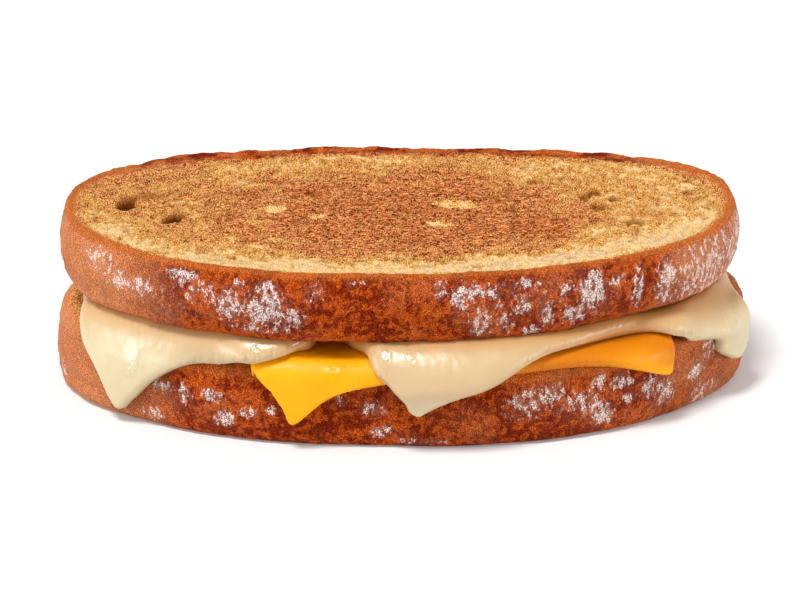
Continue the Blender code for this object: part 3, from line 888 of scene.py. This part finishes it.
# Painted shade in the pores, cells and furrows, darkest deep in the large pores.
PAINTED_PORE_SHADE = "#8a470c"
PAINTED_DEEP_PORE_SHADE = "#5a2c06"
CRUST_THIN = ("#842806", "#ea6c1c")
CRUST_HARD = ("#400a00", "#a83408")
RIM_TOAST = ("#a2420e", "#ee8e44")
FLOUR_FILM = ("#bc5a2a", "#fdb67e")
FLOUR_HAZE = "#c9907c"
FLOUR = "#fdf0e8"


# %% Bread material
def toasted_bread():
    material, tree, shader, place = new_material("toasted_batard_bread")

    def mark(name):
        return add_node(tree, "Attribute", {"attribute_name": name}, {}).outputs["Fac"]

    def stretched(*lengths):
        """Place measured in grains that are this many mm long, deep and high."""
        scale = tuple(1.0 / length for length in lengths)
        return add_node(tree, "VectorMath", {"operation": "MULTIPLY"}, {0: place, 1: scale}).outputs[0]

    def grain(lengths, detail=3.0, roughness=0.6):
        inputs = {"Vector": stretched(*lengths), "Scale": 1.0, "Detail": detail}
        inputs["Roughness"] = roughness
        return add_node(tree, "TexNoise", {}, inputs).outputs["Fac"]

    def ramp(value, start, end, low=0.0, high=1.0):
        inputs = {"Value": value, "From Min": start, "From Max": end, "To Min": low, "To Max": high}
        options = {"interpolation_type": "SMOOTHSTEP"}
        return add_node(tree, "MapRange", options, inputs).outputs[0]

    def sums(operation, first, second):
        return add_node(tree, "Math", {"operation": operation}, {0: first, 1: second}).outputs[0]

    def blend(share, first, second):
        inputs = {0: share, 6: first, 7: second}
        return add_node(tree, "Mix", {"data_type": "RGBA"}, inputs).outputs[2]

    def graded(value, stops):
        """Colour that passes through the stops, each of them a value and a colour."""
        found = colour(stops[0][1])
        for (start, _), (end, code) in zip(stops, stops[1:]):
            found = blend(ramp(value, start, end), found, colour(code))
        return found

    # Crumb: every grain has painted light on its crest and painted shade at its base, and both
    # turn browner with the toasting.
    # The toasted middle is torn into short strands, which lie along the slice.
    brown = sums("ADD", mark("browning"), ramp(grain((1.6, 2.6, 2.0)), 0.3, 0.7, -0.15, 0.15))
    strands = grain((1.3, 0.50, 0.45), 3.0, 0.6)
    fine = grain((0.24, 0.54, 0.40), 2.0, 0.6)
    fine = blend(ramp(brown, 0.4, 0.7, 0.0, 0.5), fine, strands)
    lit_tops = graded(brown, tuple(zip(CRUMB_STOPS, CRUMB_PAINTED_LIGHT)))
    shaded_feet = graded(brown, tuple(zip(CRUMB_STOPS, CRUMB_PAINTED_SHADE)))
    # Painted light and shade of the grains, mixed by the same noise that bumps them.
    crumb = blend(ramp(fine, 0.435, 0.565), shaded_feet, lit_tops)
    # Painted shade in the pores, cells and furrows.
    crumb = blend(sums("MULTIPLY", mark("painted_pit_shade"), 0.8), crumb, colour(PAINTED_PORE_SHADE))
    crumb = blend(ramp(mark("painted_pit_shade"), 1.0, 1.5), crumb, colour(PAINTED_DEEP_PORE_SHADE))

    # Crust: orange where it baked thin, deep red-brown where it baked hardest, darkest on the rim.
    patch = sums("ADD", grain((9.0, 9.0, 9.0), 4.0), ramp(grain((1.5, 1.5, 1.5), 4.0), 0.3, 0.7, -0.2, 0.2))
    patch = sums("SUBTRACT", patch, sums("MULTIPLY", mark("rim"), 0.10))
    patch = sums("SUBTRACT", patch, sums("MULTIPLY", mark("flour"), 0.12))
    grit = ramp(grain((0.19, 0.19, 0.19), 2.0, 0.6), 0.42, 0.59)
    thin = blend(grit, colour(CRUST_THIN[0]), colour(CRUST_THIN[1]))
    hard = blend(grit, colour(CRUST_HARD[0]), colour(CRUST_HARD[1]))
    crust = blend(ramp(patch, 0.38, 0.62), hard, thin)
    toasted_rim = blend(grit, colour(RIM_TOAST[0]), colour(RIM_TOAST[1]))
    crust = blend(mark("edge"), crust, toasted_rim)

    # Flour: a film that lightens the crust, a haze round each drift, and clumps of white grains.
    film = blend(grit, colour(FLOUR_FILM[0]), colour(FLOUR_FILM[1]))
    crust = blend(mark("dust"), crust, film)
    haze = sums("MULTIPLY", mark("flour"), ramp(grain((0.9, 0.9, 2.0), 3.0), 0.35, 0.65, 0.0, 0.45))
    crust = blend(haze, crust, colour(FLOUR_HAZE))
    clump = ramp(grain((1.1, 1.1, 1.7), 4.0, 0.7), 0.34, 0.66, -0.6, 0.6)
    powder = ramp(sums("ADD", clump, mark("flour")), 0.50, 0.98)
    powder = sums("MULTIPLY", powder, ramp(mark("flour"), 0.02, 0.25))
    specks = ramp(grain((0.30, 0.30, 0.30), 1.0), 0.40, 0.58, 0.10, 1.0)
    powder = sums("MULTIPLY", powder, specks)
    crust = blend(powder, crust, colour(FLOUR))

    tree.links.new(blend(mark("crust"), crumb, crust), shader.inputs["Base Color"])
    rough = ramp(mark("crust"), 0.0, 1.0, 0.8, 0.6)
    rough = sums("ADD", rough, sums("MULTIPLY", powder, 0.3))
    tree.links.new(rough, shader.inputs["Roughness"])
    shader.inputs["IOR"].default_value = 1.45
    shader.inputs["Specular IOR Level"].default_value = 0.06

    # Relief finer than the mesh: grains of crumb, and the leathery grain of the crust.
    rise = blend(mark("crust"), sums("MULTIPLY", fine, 0.6), sums("MULTIPLY", grit, 0.12))
    bump = add_node(tree, "Bump", {}, {"Height": rise, "Distance": 1.0 * MM, "Strength": 1.0})
    tree.links.new(bump.outputs[0], shader.inputs["Normal"])
    return material


# %% [markdown]
# ## Melted cheese
# Melted cheese is a wet, fatty gel. Light enters it and scatters out again a few millimetres on,
# which softens its shadows, and a film of oil makes its surface shine: IOR 1.45, roughness 0.36 to
# 0.45, falling to 0.12 to 0.14 where beads of oil lie. The yellow one is coloured with annatto.


# %% Cheese materials
def melted_cheese(name, body, painted_shade_colour, scatter, roughness, gloss):
    material, tree, shader, place = new_material(name)
    inputs = {"Vector": place, "Scale": 1.0 / 6.0, "Detail": 3.0}
    cloudy = add_node(tree, "TexNoise", {}, inputs).outputs["Fac"]
    painted_shade = add_node(tree, "Attribute", {"attribute_name": "painted_shade"}, {}).outputs["Fac"]
    options = {"data_type": "RGBA"}
    mixed = add_node(tree, "Mix", options, {0: cloudy, 6: colour(body[0]), 7: colour(body[1])})
    # Painted shade: the body colour is darkened towards the shaded colour where the mesh marks it.
    mixed = add_node(tree, "Mix", options, {0: painted_shade, 6: mixed.outputs[2], 7: colour(painted_shade_colour)})
    tree.links.new(mixed.outputs[2], shader.inputs["Base Color"])
    shader.inputs["Subsurface Weight"].default_value = 0.6
    shader.inputs["Subsurface Radius"].default_value = scatter
    shader.inputs["Subsurface Scale"].default_value = 2.5 * MM
    shader.inputs["IOR"].default_value = 1.45
    shader.inputs["Specular IOR Level"].default_value = gloss
    # Broad ripples everywhere, and small beads of oil where the fat has run out.
    ripples = add_node(tree, "TexNoise", {}, {"Vector": place, "Scale": 1.0 / 2.5, "Detail": 1.0})
    drops = add_node(tree, "TexNoise", {}, {"Vector": place, "Scale": 1.0 / 0.8, "Detail": 1.0})
    beads = add_node(tree, "Attribute", {"attribute_name": "beads"}, {}).outputs["Fac"]
    inputs = {"Value": beads, "To Min": roughness[0], "To Max": roughness[1]}
    wet = add_node(tree, "MapRange", {}, inputs)
    tree.links.new(wet.outputs[0], shader.inputs["Roughness"])
    drops = add_node(tree, "Math", {"operation": "SUBTRACT"}, {0: drops.outputs["Fac"], 1: 0.5})
    drops = add_node(tree, "Math", {"operation": "MULTIPLY"}, {0: drops.outputs[0], 1: beads})
    rise = add_node(tree, "Math", {"operation": "ADD"}, {0: ripples.outputs["Fac"], 1: drops.outputs[0]})
    bump = add_node(tree, "Bump", {}, {"Height": rise.outputs[0], "Distance": 0.4 * MM, "Strength": 0.4})
    tree.links.new(bump.outputs[0], shader.inputs["Normal"])
    return material


bread = toasted_bread()
# The third colour of each cheese is painted shade: tan for the white, deep orange for the yellow.
white = melted_cheese(
    "melted_white_cheese", ("#d4c6a2", "#cab890"), "#c48e4c", (1.0, 0.7, 0.4), (0.36, 0.12), 0.8
)
orange = melted_cheese(
    "melted_yellow_cheese", ("#fbb40c", "#f5a006"), "#cc7604", (1.0, 0.6, 0.15), (0.45, 0.14), 0.2
)

# %% [markdown]
# ## Put the pieces in place
# Each fine mesh takes its material, replaces its solid and rides on the one body.

# %% Place the pieces
PIECES = (
    (lower, "bread_lower", bread, "toasted_bread"),
    (upper, "bread_upper", bread, "toasted_bread"),
    (yellow, "cheese_yellow", orange, "yellow_cheese"),
    (white_left, "cheese_white_left", white, "white_cheese"),
    (white_right, "cheese_white_right", white, "white_cheese"),
)
for piece, node, material, slot in PIECES:
    piece.data.materials.append(material)
    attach(piece, "root")
    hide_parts(node)
print("placed", len(PIECES), "pieces")

# %% [markdown]
# ## Studio
# A white table, a large soft light from the upper left that throws a faint shadow to the right,
# and white surroundings that fill in the rest. The plain Standard view keeps the table white and
# the colours as given.


# %% Table and light
def add_table():
    mesh = bpy.data.meshes.new("table")
    half = 3.0
    mesh.from_pydata([(-half, -half, 0), (half, -half, 0), (half, half, 0), (-half, half, 0)], [],
                     [(0, 1, 2, 3)])
    table = bpy.data.objects.new("table", mesh)
    bpy.context.scene.collection.objects.link(table)
    material, _, shader, _ = new_material("white_table")
    shader.inputs["Base Color"].default_value = colour("#dcdcdc")
    shader.inputs["Roughness"].default_value = 0.9
    shader.inputs["Emission Color"].default_value = (1.0, 1.0, 1.0, 1.0)
    shader.inputs["Emission Strength"].default_value = 0.12
    mesh.materials.append(material)
    return table


def add_light(name, kind, place, energy, **options):
    light = bpy.data.lights.new(name, kind)
    light.energy = energy
    for option, value in options.items():
        setattr(light, option, value)
    lamp = bpy.data.objects.new(name, light)
    lamp.location = place
    lamp.rotation_euler = (-Vector(place)).to_track_quat("-Z", "Y").to_euler()
    bpy.context.scene.collection.objects.link(lamp)
    return lamp


add_table()
add_light("key_light", "SUN", (-0.35, -0.50, 1.4), 2.5, angle=math.radians(15))
add_light("window_light", "AREA", (-0.90, -0.30, 0.20), 2.4, size=0.20)
add_light("fill_light", "AREA", (0.88, -0.34, 0.20), 2.4, size=0.20)
world = bpy.data.worlds.new("studio")
world.use_nodes = True
world.node_tree.nodes["Background"].inputs["Color"].default_value = (1.0, 1.0, 1.0, 1.0)
world.node_tree.nodes["Background"].inputs["Strength"].default_value = 0.6
bpy.context.scene.world = world
bpy.context.scene.view_settings.view_transform = "Standard"

# %% [markdown]
# ## Camera
# A long lens 0.9 m away, looking down 20 degrees at the middle of the sandwich.

# %% Camera
CAMERA_DISTANCE = 0.9
CAMERA_TILT = math.radians(20)
AIM = Vector((0.2 * MM - ORIGIN[0] * MM, -ORIGIN[1] * MM, 19.8 * MM))
camera_data = bpy.data.cameras.new("camera")
camera_data.lens = 181.2
camera_data.sensor_width = 36.0
camera = bpy.data.objects.new("camera", camera_data)
camera.location = AIM + CAMERA_DISTANCE * Vector((0.0, -math.cos(CAMERA_TILT), math.sin(CAMERA_TILT)))
camera.rotation_euler = (AIM - camera.location).to_track_quat("-Z", "Y").to_euler()
bpy.context.scene.collection.objects.link(camera)
bpy.context.scene.camera = camera
